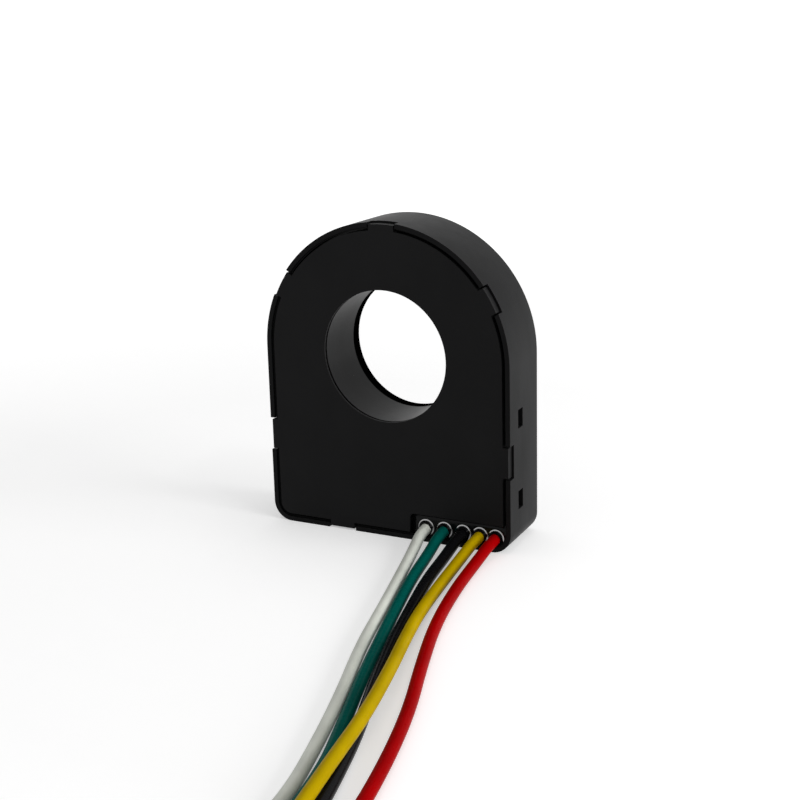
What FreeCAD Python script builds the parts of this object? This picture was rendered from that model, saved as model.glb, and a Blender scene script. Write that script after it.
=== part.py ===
# Residual current sensor: a flat D-shaped potted module with a round aperture and five flying leads.
# Millimetres. X runs to the right, Y runs back from the open face, Z is up.
# The origin is on the resting plane, under the middle of the module.
# The case is worked out from the inside: aperture, tube, wound ring, clearances, walls.
import FreeCAD
import Part
import math
import os

Vec = FreeCAD.Vector

# Aperture and the case's tube round it
BORE_R = 10.0
BORE_BACK_ROUND = 0.9
TUBE_WALL = 1.0
LIP_WALL = 0.35
LIP_RECESS = 0.3

# Magnetic core and everything wound on it, with the room round the wound ring
CORE_WIDTH = 3.6
CORE_HEIGHT = 4.4
CORE_GAP = 0.1
CORE_BOX_WALL = 0.6
WINDING_THICKNESS = 0.5
WINDING_TURNS = 48
TURN_GROOVE = 0.16
WINDING_LEAD_OD = 0.4
WINDING_LEAD_SPACING = 3.0
TAPE_THICKNESS = 0.15
TEST_TURNS = 4
TEST_WIRE_OD = 0.4
TEST_WIRE_GAP = 0.02
TEST_PITCH_DEG = 2.6
TEST_START_DEG = 228.0
TEST_CORNER_R = 0.25
RING_SIDE_GAP = 0.48
RING_END_GAP = 0.68

# Moulded case
CASE_CORNER_R = 3.0
CASE_WALL = 0.9
CASE_BACK = 1.0
CASE_BACK_ROUND = 0.8

# Cover, its six edge tabs and the notches that take them
COVER_THICKNESS = 1.3
COVER_EDGE_GAP = 0.32
COVER_HOLE_GAP = 0.25
COVER_HOLE_CHAMFER = 0.25
TAB_RECESS = 0.3
TAB_END_GAP = 0.25
TAB_UNDER_GAP = 0.15
ARCH_TAB_ANGLES = (30.0, 90.0, 150.0)
ARCH_TAB_WIDTH = 4.0
SIDE_TAB_BELOW_BORE = 14.05
SIDE_TAB_WIDTH = 4.6
BOTTOM_TAB_OFFSET = -8.0
BOTTOM_TAB_WIDTH = 4.1

# Snap arms on the cover and the windows that they click into
SNAPS_BELOW_BORE = (8.2, 20.6)
SNAP_WINDOW_HEIGHT = 2.8
SNAP_WINDOW_DEPTH = 1.8
SNAP_WINDOW_FROM_FRONT = 3.2
SNAP_ARM_THICKNESS = 0.8
SNAP_ARM_GAP = 0.15
SNAP_SIDE_GAP = 0.2
SNAP_NOSE_RECESS = 0.35
SNAP_ARM_OVERRUN = 0.4

# Circuit board
BOARD_THICKNESS = 1.0
BOARD_ARM_GAP = 0.3
BOARD_FLOOR_GAP = 0.3
BOARD_SIDE_GAP = 0.5
BOARD_RING_GAP = 0.4
BOARD_EDGE_MARGIN = 0.9
BOARD_HORN_RISE = 5.2
BOARD_CORNER_R = 1.4
BOARD_POST_INSET = 3.7
BOARD_POST_RISE = 8.3
BOARD_POST_R = 1.1
BOARD_PIN_R = 0.6
BOARD_PIN_GAP = 0.05
BOARD_PIN_PROUD = 0.5
SOLDER_R = 0.85
SOLDER_HEIGHT = 0.7

# Leads, and how each one is set in the outlet
LEAD_OD = 1.68
LEAD_HEIGHT = 2.14
LEAD_STRAIGHT = 0.9
LEAD_BARE = 1.3
LEAD_FLOOR_GAP = 0.02
LEAD_CROSSING_GAP = 0.1
STRAND_OD = 0.78
STRIP_LENGTH = 5.0

# Lead outlet: the cover's missing corner, the potting in it and the menisci round the leads, whose
# hollow flank passes a point given as shares of their reach and their height
OUTLET_BESIDE_LEADS = 2.5
OUTLET_ABOVE_LEADS = 2.05
OUTLET_CORNER_R = 0.8
POTTING_RECESS = 0.5
MENISCUS_REACH = 0.5
MENISCUS_LIP = 0.08
MENISCUS_HOLLOW = (0.22, 0.3)

# Chip packages: body width, height and depth, then the pins
EIGHT_PIN_BODY = (4.9, 3.9, 1.5)
EIGHT_PIN_PITCH = 1.27
EIGHT_PIN_REACH = 3.0
REGULATOR_BODY = (2.9, 1.6, 1.1)
REGULATOR_PITCH = 0.95
REGULATOR_REACH = 1.4
TRANSISTOR_BODY = (2.9, 1.3, 1.0)
TRANSISTOR_PITCH = 1.9
TRANSISTOR_REACH = 1.2
PIN_WIDTH = 0.42
PIN_THICKNESS = 0.2
PIN_STAND_OFF = 0.1
CONTROLLER_SIDE = 5.0
CONTROLLER_DEPTH = 0.9
CONTROLLER_PADS = 8
CONTROLLER_PITCH = 0.5
PAD_WIDTH = 0.3
PAD_LENGTH = 0.4
PAD_DEPTH = 0.2
PAD_PROUD = 0.08
DIODE_BODY = (4.3, 2.6, 2.2)
DIODE_STRAP = (0.6, 1.5, 1.0)
DIODE_STRAP_PROUD = 0.2
RESISTOR_SIZE = (1.6, 0.8, 0.45)
CAPACITOR_SIZE = (2.0, 1.25, 1.25)
CHIP_CAP_SHARE = 0.22
CHIP_SLIM = 0.05

# Worked-out sizes, from the aperture outwards
TUBE_R = BORE_R + TUBE_WALL
TEST_WIRE_ROOM = TEST_WIRE_GAP + TEST_WIRE_OD
TAPE_IN = TUBE_R + RING_SIDE_GAP + TEST_WIRE_ROOM
WOUND_IN = TAPE_IN + TAPE_THICKNESS
BOX_IN = WOUND_IN + WINDING_THICKNESS
CORE_INNER_R = BOX_IN + CORE_BOX_WALL + CORE_GAP
CORE_OUTER_R = CORE_INNER_R + CORE_WIDTH
BOX_OUT = CORE_OUTER_R + CORE_GAP + CORE_BOX_WALL
WOUND_OUT = BOX_OUT + WINDING_THICKNESS
TAPE_OUT = WOUND_OUT + TAPE_THICKNESS
TEST_WIRE_OUT = TAPE_OUT + TEST_WIRE_ROOM
BOX_HALF = CORE_HEIGHT / 2 + CORE_GAP + CORE_BOX_WALL
WOUND_HALF = BOX_HALF + WINDING_THICKNESS
TAPE_HALF = WOUND_HALF + TAPE_THICKNESS
TEST_WIRE_HALF = TAPE_HALF + TEST_WIRE_ROOM
CASE_HALF_WIDTH = TEST_WIRE_OUT + RING_SIDE_GAP + CASE_WALL
CASE_DEPTH = COVER_THICKNESS + 2 * (RING_END_GAP + TEST_WIRE_HALF) + CASE_BACK
BOARD_WAIST = 2 * (EIGHT_PIN_REACH + BOARD_EDGE_MARGIN)
BOARD_ARC_R = TEST_WIRE_OUT + BOARD_RING_GAP
BOARD_BOTTOM_Z = CASE_WALL + BOARD_FLOOR_GAP
BORE_HEIGHT = BOARD_BOTTOM_Z + BOARD_WAIST + BOARD_ARC_R

# Worked-out places
FRONT_Y = -CASE_DEPTH / 2
BACK_Y = CASE_DEPTH / 2
COVER_BACK_Y = FRONT_Y + COVER_THICKNESS
CAVITY_BACK_Y = BACK_Y - CASE_BACK
RING_CENTRE_Y = (COVER_BACK_Y + CAVITY_BACK_Y) / 2
COVER_HOLE_R = BORE_R + LIP_WALL + COVER_HOLE_GAP
COVER_INSET = CASE_WALL + COVER_EDGE_GAP
LIP_Y = FRONT_Y + LIP_RECESS
POTTING_Y = FRONT_Y + POTTING_RECESS
SNAP_CATCH_Y = FRONT_Y + SNAP_WINDOW_FROM_FRONT
SNAP_RAMP_Y = SNAP_CATCH_Y + SNAP_WINDOW_DEPTH
SNAP_TIP_Y = SNAP_RAMP_Y - SNAP_SIDE_GAP / 2 + SNAP_ARM_OVERRUN
BOARD_FRONT_Y = SNAP_TIP_Y + BOARD_ARM_GAP
BOARD_BACK_Y = BOARD_FRONT_Y + BOARD_THICKNESS
BOARD_HALF_WIDTH = CASE_HALF_WIDTH - CASE_WALL - BOARD_SIDE_GAP
BOARD_POST_X = BOARD_HALF_WIDTH - BOARD_POST_INSET
BOARD_POST_Z = BOARD_BOTTOM_Z + BOARD_POST_RISE
LEAD_START_Y = BOARD_FRONT_Y - LEAD_BARE
LEAD_LYING_Z = LEAD_OD / 2 + LEAD_FLOOR_GAP

# Where each part stands: the board's edge it is set out from, how far in, how far above the board's foot
CONTROLLER_AT = ("left", 7.0, BOARD_WAIST / 2)
BRIDGE_DRIVER_AT = ("middle", -4.4, BOARD_WAIST / 2)
SENSE_AMPLIFIER_AT = ("middle", -4.4, BOARD_WAIST / 2)
REGULATOR_AT = ("middle", 3.0, 4.9)
TRANSISTOR_AT = ("right", 9.0, 6.2)
DIODE_AT = ("right", 8.2, 5.0)
RESISTORS_AT = [
    ("left", 2.4, 2.6, "front", "upright"), ("left", 2.4, 5.0, "front", "upright"),
    ("middle", 0.3, 4.4, "front", "upright"), ("middle", 0.5, 1.6, "front", "flat"),
    ("left", 8.0, 2.2, "back", "flat"), ("left", 8.0, 4.0, "back", "flat"),
    ("middle", 0.2, 2.6, "back", "upright"), ("middle", 2.0, 2.6, "back", "upright"),
]
CAPACITORS_AT = [
    ("middle", 5.4, 5.2, "front", "upright"), ("left", 4.4, 3.2, "back", "upright"),
    ("middle", -8.3, 7.4, "back", "flat"), ("middle", 4.2, 5.0, "back", "upright"),
]

# Each lead's place in the outlet, in from the case's right side, and the points its centre line turns at
# as it lies: right of that place, forward of the case's face, and its share of the lift over another lead.
LEAD_ROUTES = {
    "white": (13.93, [
        (1.0, 6.1, 0), (3.5, 14.8, 0), (6.4, 26.0, 0), (9.4, 38.2, 0), (13.1, 51.0, 0), (16.2, 63.2, 0),
        (19.0, 75.0, 0), (20.0, 88.7, 0), (18.2, 104.0, 0), (14.9, 123.3, 0), (14.4, 142.1, 0),
    ]),
    "green": (10.92, [
        (0.6, 6.3, 0), (2.4, 15.3, 0), (5.1, 25.5, 0), (8.2, 36.7, 0), (11.2, 47.4, 0), (14.5, 58.1, 0),
        (17.6, 68.3, 0), (19.5, 80.1, 0), (19.5, 93.3, 0), (17.6, 108.1, 0), (17.0, 125.6, 0),
        (18.3, 142.3, 0),
    ]),
    "black": (7.86, [
        (0.3, 6.3, 0), (1.8, 15.3, 0), (4.2, 25.5, 0), (6.9, 36.2, 0), (10.2, 47.4, 0), (14.2, 59.2, 0),
        (17.0, 69.4, 0), (19.4, 80.6, 0), (20.4, 93.8, 0), (19.1, 108.6, 0), (19.9, 125.8, 0),
        (23.3, 142.1, 0),
    ]),
    "yellow": (5.11, [
        (0.4, 6.5, 0), (2.0, 16.8, 0), (3.8, 26.5, 0.26), (6.1, 35.7, 0.6), (9.0, 46.4, 1), (11.6, 57.6, 1),
        (13.4, 68.3, 1), (15.0, 79.1, 0.8), (15.7, 90.3, 0), (14.2, 103.5, 0), (14.3, 123.6, 0),
        (16.5, 143.1, 0),
    ]),
    "red": (2.56, [
        (0.3, 6.3, 0), (1.8, 16.3, 0), (4.2, 28.1, 0), (7.7, 39.8, 0), (11.6, 51.5, 0), (14.8, 63.2, 0),
        (17.4, 75.5, 0), (18.7, 88.7, 0), (17.9, 103.5, 0), (19.3, 123.2, 0), (24.3, 142.0, 0),
    ]),
}


def lead_exit(colour):
    """How far right of the middle a lead leaves the outlet."""
    return CASE_HALF_WIDTH - LEAD_ROUTES[colour][0]


OUTLET_LEFT = min(lead_exit(colour) for colour in LEAD_ROUTES) - OUTLET_BESIDE_LEADS
OUTLET_TOP = LEAD_HEIGHT + OUTLET_ABOVE_LEADS


def write(node, shape):
    """Export one node and say how much of it there is."""
    os.makedirs("parts", exist_ok=True)
    shape.exportStep("parts/" + node + ".step")
    print(node, "solids", len(shape.Solids), "volume", round(shape.Volume, 2), "valid", shape.isValid())


def d_outline(inset, y):
    """The case's outline, drawn in by an even inset: a round arch on a square foot."""
    half = CASE_HALF_WIDTH - inset
    corner = CASE_CORNER_R - inset
    low = inset
    slant = corner * math.sin(math.radians(45))
    left_mid = Vec(-half + corner - slant, y, low + corner - slant)
    right_mid = Vec(half - corner + slant, y, low + corner - slant)
    edges = [
        Part.LineSegment(Vec(-half, y, BORE_HEIGHT), Vec(-half, y, low + corner)),
        Part.Arc(Vec(-half, y, low + corner), left_mid, Vec(-half + corner, y, low)),
        Part.LineSegment(Vec(-half + corner, y, low), Vec(half - corner, y, low)),
        Part.Arc(Vec(half - corner, y, low), right_mid, Vec(half, y, low + corner)),
        Part.LineSegment(Vec(half, y, low + corner), Vec(half, y, BORE_HEIGHT)),
        Part.Arc(Vec(half, y, BORE_HEIGHT), Vec(0, y, BORE_HEIGHT + half), Vec(-half, y, BORE_HEIGHT)),
    ]
    return Part.Wire([edge.toShape() for edge in edges])


def d_prism(inset, y_from, y_to):
    return Part.Face(d_outline(inset, y_from)).extrude(Vec(0, y_to - y_from, 0))


def bore_cylinder(radius, y_from, y_to):
    return Part.makeCylinder(radius, y_to - y_from, Vec(0, y_from, BORE_HEIGHT), Vec(0, 1, 0))


def annulus(inner, outer, y_from, y_to):
    return bore_cylinder(outer, y_from, y_to).cut(bore_cylinder(inner, y_from, y_to))


def block(x_from, x_to, y_from, y_to, z_from, z_to):
    return Part.makeBox(x_to - x_from, y_to - y_from, z_to - z_from, Vec(x_from, y_from, z_from))


def join(shapes):
    whole = shapes[0]
    for shape in shapes[1:]:
        whole = whole.fuse(shape)
    return whole.removeSplitter()


def edges_at(shape, y, test):
    """The edges that lie in the plane Y = y and pass the test."""
    flat = [e for e in shape.Edges if abs(e.BoundBox.YMin - y) < 0.001 and abs(e.BoundBox.YMax - y) < 0.001]
    return [e for e in flat if test(e)]


def is_bore_edge(edge):
    at = edge.valueAt(edge.FirstParameter)
    return abs(math.hypot(at.x, at.z - BORE_HEIGHT) - BORE_R) < 0.01


def edge_blocks(widening, y_from, y_to):
    """One radial block for each cover tab, wider by the widening, reaching past the case's wall."""
    places = [(angle, 0.0, CASE_HALF_WIDTH, ARCH_TAB_WIDTH) for angle in ARCH_TAB_ANGLES]
    places.append((0.0, -SIDE_TAB_BELOW_BORE, CASE_HALF_WIDTH, SIDE_TAB_WIDTH))
    places.append((180.0, SIDE_TAB_BELOW_BORE, CASE_HALF_WIDTH, SIDE_TAB_WIDTH))
    places.append((270.0, BOTTOM_TAB_OFFSET, BORE_HEIGHT, BOTTOM_TAB_WIDTH))
    blocks = []
    for angle, offset, reach, width in places:
        half = width / 2 + widening
        inner = reach - COVER_INSET - CASE_WALL
        piece = block(inner, reach + CASE_WALL, y_from, y_to, offset - half, offset + half)
        piece.translate(Vec(0, 0, BORE_HEIGHT))
        piece.rotate(Vec(0, 0, BORE_HEIGHT), Vec(0, -1, 0), angle)
        blocks.append(piece)
    return blocks


def bore_tube():
    """The case's inner tube, stepped at its mouth: a shoulder for the cover and a thin lip inside it."""
    shoulder = bore_cylinder(TUBE_R, COVER_BACK_Y, BACK_Y)
    lip = bore_cylinder(BORE_R + LIP_WALL, LIP_Y, BACK_Y)
    return shoulder.fuse(lip)


def board_posts():
    """Two stepped posts on the case's back wall, which carry and centre the board."""
    posts = []
    for x in (-BOARD_POST_X, BOARD_POST_X):
        at = Vec(x, BOARD_BACK_Y, BOARD_POST_Z)
        stem = Part.makeCylinder(BOARD_POST_R, BACK_Y - CASE_BACK / 2 - BOARD_BACK_Y, at, Vec(0, 1, 0))
        tip_y = BOARD_FRONT_Y - BOARD_PIN_PROUD
        pin_at = Vec(x, tip_y, BOARD_POST_Z)
        pin = Part.makeCylinder(BOARD_PIN_R, BACK_Y - CASE_BACK / 2 - tip_y, pin_at, Vec(0, 1, 0))
        posts.append(stem.fuse(pin))
    return posts


def snap_windows():
    """Four windows in the straight side walls."""
    windows = []
    for below in SNAPS_BELOW_BORE:
        for side in (-1, 1):
            x_in = side * (CASE_HALF_WIDTH - 2 * CASE_WALL)
            x_out = side * (CASE_HALF_WIDTH + CASE_WALL)
            low = BORE_HEIGHT - below - SNAP_WINDOW_HEIGHT / 2
            windows.append(block(min(x_in, x_out), max(x_in, x_out), SNAP_CATCH_Y, SNAP_RAMP_Y,
                                 low, low + SNAP_WINDOW_HEIGHT))
    return windows


def case_shell():
    body = d_prism(0, FRONT_Y, BACK_Y)
    back_edges = edges_at(body, BACK_Y, lambda edge: True)
    body = body.makeFillet(CASE_BACK_ROUND, back_edges)
    body = body.cut(d_prism(CASE_WALL, FRONT_Y, CAVITY_BACK_Y))
    body = join([body, bore_tube()] + board_posts())
    body = body.cut(bore_cylinder(BORE_R, FRONT_Y, BACK_Y))
    body = body.makeFillet(BORE_BACK_ROUND, edges_at(body, BACK_Y, is_bore_edge))
    body = body.makeFillet(LIP_WALL / 3, edges_at(body, LIP_Y, is_bore_edge))
    notches = edge_blocks(TAB_END_GAP, FRONT_Y, COVER_BACK_Y + TAB_UNDER_GAP)
    return body.cut(notches + snap_windows())


def snap_arm(side, below):
    """A springy arm behind the cover, with a ramped nose that stands in its window."""
    outer = CASE_HALF_WIDTH - CASE_WALL - SNAP_ARM_GAP
    inner = outer - SNAP_ARM_THICKNESS
    nose = CASE_HALF_WIDTH - SNAP_NOSE_RECESS
    catch = SNAP_CATCH_Y + SNAP_SIDE_GAP / 2
    ramp_end = SNAP_RAMP_Y - SNAP_SIDE_GAP / 2
    half = SNAP_WINDOW_HEIGHT / 2 - SNAP_SIDE_GAP
    low = BORE_HEIGHT - below - half
    root = COVER_BACK_Y - COVER_THICKNESS / 2
    profile = [(inner, root), (outer, root), (outer, catch), (nose, catch), (outer, ramp_end),
               (outer, SNAP_TIP_Y), (inner, SNAP_TIP_Y), (inner, root)]
    wire = Part.makePolygon([Vec(side * x, y, low) for x, y in profile])
    return Part.Face(wire).extrude(Vec(0, 0, 2 * half))


def outlet_block(x_right, z_low, y_from, y_to):
    """The cover's missing corner, round at its inner corner."""
    shape = block(OUTLET_LEFT, x_right, y_from, y_to, z_low, OUTLET_TOP)
    corner = [e for e in shape.Edges if abs(e.BoundBox.XMax - OUTLET_LEFT) < 0.001
              and abs(e.BoundBox.ZMin - OUTLET_TOP) < 0.001]
    return shape.makeFillet(OUTLET_CORNER_R, corner)


def front_cover():
    plate = d_prism(COVER_INSET, FRONT_Y, COVER_BACK_Y)
    reach = d_prism(TAB_RECESS, FRONT_Y, COVER_BACK_Y)
    tabs = [tab.common(reach) for tab in edge_blocks(0, FRONT_Y, COVER_BACK_Y)]
    arms = [snap_arm(side, below) for side in (-1, 1) for below in SNAPS_BELOW_BORE]
    plate = join([plate] + tabs + arms)
    plate = plate.cut(bore_cylinder(COVER_HOLE_R, FRONT_Y, COVER_BACK_Y))
    plate = plate.cut(outlet_block(CASE_HALF_WIDTH, 0, FRONT_Y, COVER_BACK_Y))
    mouth = edges_at(plate, FRONT_Y, lambda e: abs(e.BoundBox.XMax - COVER_HOLE_R) < 0.001
                     and abs(e.BoundBox.ZMax - BORE_HEIGHT - COVER_HOLE_R) < 0.001)
    return plate.makeChamfer(COVER_HOLE_CHAMFER, mouth)


def magnetic_core():
    half = CORE_HEIGHT / 2
    return annulus(CORE_INNER_R, CORE_OUTER_R, RING_CENTRE_Y - half, RING_CENTRE_Y + half)


def core_box():
    """The ring-shaped tray that keeps the winding's pull off the core, open to the front."""
    lid_y = RING_CENTRE_Y - BOX_HALF + CORE_BOX_WALL
    tray = annulus(BOX_IN, BOX_OUT, lid_y, RING_CENTRE_Y + BOX_HALF)
    room_y = RING_CENTRE_Y + BOX_HALF - CORE_BOX_WALL
    room = annulus(CORE_INNER_R - CORE_GAP, CORE_OUTER_R + CORE_GAP, lid_y, room_y)
    return tray.cut(room)


def core_box_lid():
    y = RING_CENTRE_Y - BOX_HALF
    return annulus(BOX_IN, BOX_OUT, y, y + CORE_BOX_WALL)


def winding_leads():
    """The wound ring's two ends, which come straight down onto the board's front face."""
    leads = []
    y = BOARD_FRONT_Y - WINDING_LEAD_OD / 2
    top = BORE_HEIGHT - WOUND_OUT + WINDING_THICKNESS / 2
    bottom = BORE_HEIGHT - BOARD_ARC_R - 2 * BOARD_RING_GAP
    for x in (-WINDING_LEAD_SPACING / 2, WINDING_LEAD_SPACING / 2):
        leads.append(Part.makeCylinder(WINDING_LEAD_OD / 2, top - bottom, Vec(x, y, bottom), Vec(0, 0, 1)))
    return leads


def sense_winding():
    """A close single layer over the whole ring, grooved between its turns."""
    y_from = RING_CENTRE_Y - WOUND_HALF
    sleeve = annulus(WOUND_IN, WOUND_OUT, y_from, y_from + 2 * WOUND_HALF)
    box = annulus(BOX_IN, BOX_OUT, RING_CENTRE_Y - BOX_HALF, RING_CENTRE_Y + BOX_HALF)
    grooves = []
    for turn in range(WINDING_TURNS):
        at = Vec(WOUND_OUT, y_from, BORE_HEIGHT)
        groove = Part.makeCylinder(TURN_GROOVE, 2 * WOUND_HALF, at, Vec(0, 1, 0))
        groove.rotate(Vec(0, 0, BORE_HEIGHT), Vec(0, 1, 0), 360.0 * (turn + 0.5) / WINDING_TURNS)
        grooves.append(groove)
    return join([sleeve.cut(grooves).cut(box)] + winding_leads())


def insulating_tape():
    """Tape over the wound ring, open where the winding's two ends leave it."""
    sleeve = annulus(TAPE_IN, TAPE_OUT, RING_CENTRE_Y - TAPE_HALF, RING_CENTRE_Y + TAPE_HALF)
    wound = annulus(WOUND_IN, WOUND_OUT, RING_CENTRE_Y - WOUND_HALF, RING_CENTRE_Y + WOUND_HALF)
    return sleeve.cut(wound).cut(winding_leads())


def ring_point(radius, angle, y):
    turn = math.radians(angle)
    return Vec(radius * math.cos(turn), y, BORE_HEIGHT + radius * math.sin(turn))


def rounded_path(points, radius=None):
    """Straight runs joined by tangent arcs; returns the wire, its length and each arc's radius.

    Without a radius, each arc is as large as the two runs that it joins allow.
    """
    share = 0.45
    edges = []
    radii = []
    last = points[0]
    for before, corner, after in zip(points, points[1:], points[2:]):
        into = (corner - before).normalize()
        out = (after - corner).normalize()
        half_turn = into.getAngle(out) / 2
        run = min((corner - before).Length, (after - corner).Length)
        size = radius if radius else share * run / math.tan(half_turn)
        setback = size * math.tan(half_turn)
        start = corner - into * setback
        end = corner + out * setback
        inward = (out - into).normalize()
        middle = corner + inward * (size / math.cos(half_turn) - size)
        edges.append(Part.LineSegment(last, start).toShape())
        edges.append(Part.Arc(start, middle, end).toShape())
        radii.append(size)
        last = end
    edges.append(Part.LineSegment(last, points[-1]).toShape())
    wire = Part.Wire(edges)
    return wire, wire.Length, radii


def tube(path, start, heading, radius):
    """A round bar swept along a path that starts at a point with a heading."""
    section = Part.Wire([Part.makeCircle(radius, start, heading)])
    return path.makePipeShell([section], True, False)


def test_winding():
    """A few turns of one insulated wire round the taped ring, both ends on the board."""
    wire_r = TEST_WIRE_OD / 2
    outer = TAPE_OUT + TEST_WIRE_GAP + wire_r
    inner = TAPE_IN - TEST_WIRE_GAP - wire_r
    front = RING_CENTRE_Y - TAPE_HALF - TEST_WIRE_GAP - wire_r
    back = RING_CENTRE_Y + TAPE_HALF + TEST_WIRE_GAP + wire_r
    pad_y = BOARD_FRONT_Y - wire_r
    pad_r = BOARD_ARC_R + 2 * BOARD_RING_GAP
    points = [ring_point(pad_r, TEST_START_DEG, pad_y), ring_point(outer, TEST_START_DEG, pad_y)]
    angle = TEST_START_DEG
    for turn in range(TEST_TURNS):
        points += [ring_point(outer, angle, front), ring_point(inner, angle, front)]
        points += [ring_point(inner, angle, back), ring_point(outer, angle + TEST_PITCH_DEG, back)]
        angle += TEST_PITCH_DEG
    points += [ring_point(outer, angle, pad_y), ring_point(pad_r, angle, pad_y)]
    path, length, radii = rounded_path(points, TEST_CORNER_R)
    return tube(path, points[0], points[1] - points[0], wire_r)


def circuit_board():
    """The board under the ring: two horns beside it, an arched top edge, holes for leads and posts."""
    half = BOARD_HALF_WIDTH
    horn_top = BOARD_BOTTOM_Z + BOARD_WAIST + BOARD_HORN_RISE
    blank = block(-half, half, BOARD_FRONT_Y, BOARD_BACK_Y, BOARD_BOTTOM_Z, horn_top)
    low_corners = [e for e in blank.Edges if e.Length < BOARD_THICKNESS * 1.01
                   and abs(e.BoundBox.ZMax - BOARD_BOTTOM_Z) < 0.001]
    blank = blank.makeFillet(BOARD_CORNER_R, low_corners)
    blank = blank.cut(bore_cylinder(BOARD_ARC_R, BOARD_FRONT_Y, BOARD_BACK_Y))
    pin_holes = [Part.makeCylinder(BOARD_PIN_R + BOARD_PIN_GAP, BOARD_THICKNESS,
                                   Vec(x, BOARD_FRONT_Y, BOARD_POST_Z), Vec(0, 1, 0))
                 for x in (-BOARD_POST_X, BOARD_POST_X)]
    lead_holes = [Part.makeCylinder(STRAND_OD / 2, BOARD_THICKNESS,
                                    Vec(lead_exit(colour), BOARD_FRONT_Y, LEAD_HEIGHT), Vec(0, 1, 0))
                  for colour in LEAD_ROUTES]
    return blank.cut(pin_holes + lead_holes)


def place_on_board(place):
    """The x and z of a place that is set out from one of the board's edges."""
    edge, inward, rise = place
    across = {"left": inward - BOARD_HALF_WIDTH, "middle": inward, "right": BOARD_HALF_WIDTH - inward}
    return across[edge], BOARD_BOTTOM_Z + rise


def on_board(x, z, width, height, depth, face):
    """A block on the board's front or back face, centred on x and z."""
    y = BOARD_FRONT_Y - depth if face == "front" else BOARD_BACK_Y
    return block(x - width / 2, x + width / 2, y, y + depth, z - height / 2, z + height / 2)


def chip(place, size, face, stance):
    """A two-terminal chip: a body between two slightly larger end caps."""
    x, z = place_on_board(place)
    length, width, depth = size
    cap = length * CHIP_CAP_SHARE
    spans = [(-length / 2, -length / 2 + cap, 0), (-length / 2 + cap, length / 2 - cap, CHIP_SLIM),
             (length / 2 - cap, length / 2, 0)]
    pieces = []
    for low, high, less in spans:
        middle = (low + high) / 2
        along = high - low
        across = width - 2 * less
        if stance == "upright":
            pieces.append(on_board(x, z + middle, across, along, depth - less, face))
        else:
            pieces.append(on_board(x + middle, z, along, across, depth - less, face))
    return join(pieces)


def gull_wing_package(place, body, pins_a_side, pitch, reach, face):
    """A moulded body with pins above and below it that step down to the board."""
    x, z = place_on_board(place)
    width, height, depth = body
    toward = -1 if face == "front" else 1
    board_y = BOARD_FRONT_Y if face == "front" else BOARD_BACK_Y
    y_low = board_y + toward * PIN_STAND_OFF
    y_high = board_y + toward * depth
    pieces = [block(x - width / 2, x + width / 2, min(y_low, y_high), max(y_low, y_high),
                    z - height / 2, z + height / 2)]
    knee = depth / 2
    lead = PIN_THICKNESS
    outline = [(height / 2 - lead, knee), (height / 2 + lead, knee), (height / 2 + lead, 0),
               (reach, 0), (reach, lead), (height / 2 + 2 * lead, lead),
               (height / 2 + 2 * lead, knee + lead), (height / 2 - lead, knee + lead)]
    for index in range(pins_a_side):
        pin_x = x + (index - (pins_a_side - 1) / 2) * pitch - PIN_WIDTH / 2
        for side in (-1, 1):
            corners = [Vec(pin_x, board_y + toward * rise, z + side * away) for away, rise in outline]
            pieces.append(Part.Face(Part.makePolygon(corners + [corners[0]])).extrude(Vec(PIN_WIDTH, 0, 0)))
    return join(pieces)


def microcontroller():
    """A square flat package with a row of pads along each edge."""
    x, z = place_on_board(CONTROLLER_AT)
    side = CONTROLLER_SIDE
    pieces = [on_board(x, z, side, side, CONTROLLER_DEPTH, "front")]
    for index in range(CONTROLLER_PADS):
        along = (index - (CONTROLLER_PADS - 1) / 2) * CONTROLLER_PITCH
        for sign in (-1, 1):
            edge = sign * (side / 2 + PAD_PROUD - PAD_LENGTH / 2)
            pieces.append(on_board(x + along, z + edge, PAD_WIDTH, PAD_LENGTH, PAD_DEPTH, "front"))
            pieces.append(on_board(x + edge, z + along, PAD_LENGTH, PAD_WIDTH, PAD_DEPTH, "front"))
    return join(pieces)


def bridge_driver():
    return gull_wing_package(BRIDGE_DRIVER_AT, EIGHT_PIN_BODY, 4, EIGHT_PIN_PITCH, EIGHT_PIN_REACH, "front")


def sense_amplifier():
    return gull_wing_package(SENSE_AMPLIFIER_AT, EIGHT_PIN_BODY, 4, EIGHT_PIN_PITCH, EIGHT_PIN_REACH, "back")


def voltage_regulator():
    return gull_wing_package(REGULATOR_AT, REGULATOR_BODY, 3, REGULATOR_PITCH, REGULATOR_REACH, "front")


def output_transistor():
    return gull_wing_package(TRANSISTOR_AT, TRANSISTOR_BODY, 2, TRANSISTOR_PITCH, TRANSISTOR_REACH, "front")


def protection_diode():
    """A moulded block with a strap terminal under each end."""
    x, z = place_on_board(DIODE_AT)
    strap_x = DIODE_BODY[0] / 2 + DIODE_STRAP_PROUD
    body = on_board(x, z, *DIODE_BODY, "back")
    straps = [on_board(x + side * strap_x, z, *DIODE_STRAP, "back") for side in (-1, 1)]
    return join([body] + straps)


def chips(places, size):
    return Part.makeCompound([chip((edge, inward, rise), size, face, stance)
                              for edge, inward, rise, face, stance in places])


def lead_core_ends():
    """Each lead's bare inner end: strands into the board's hole and a solder cone behind it."""
    ends = []
    strand_r = STRAND_OD / 2
    axis = Vec(0, 1, 0)
    for colour in LEAD_ROUTES:
        x = lead_exit(colour)
        at = Vec(x, LEAD_START_Y, LEAD_HEIGHT)
        strand = Part.makeCylinder(strand_r, BOARD_BACK_Y - LEAD_START_Y, at, axis)
        cone = Part.makeCone(SOLDER_R, strand_r, SOLDER_HEIGHT, Vec(x, BOARD_BACK_Y, LEAD_HEIGHT), axis)
        ends.append(join([strand, cone]))
    return Part.makeCompound(ends)


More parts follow.
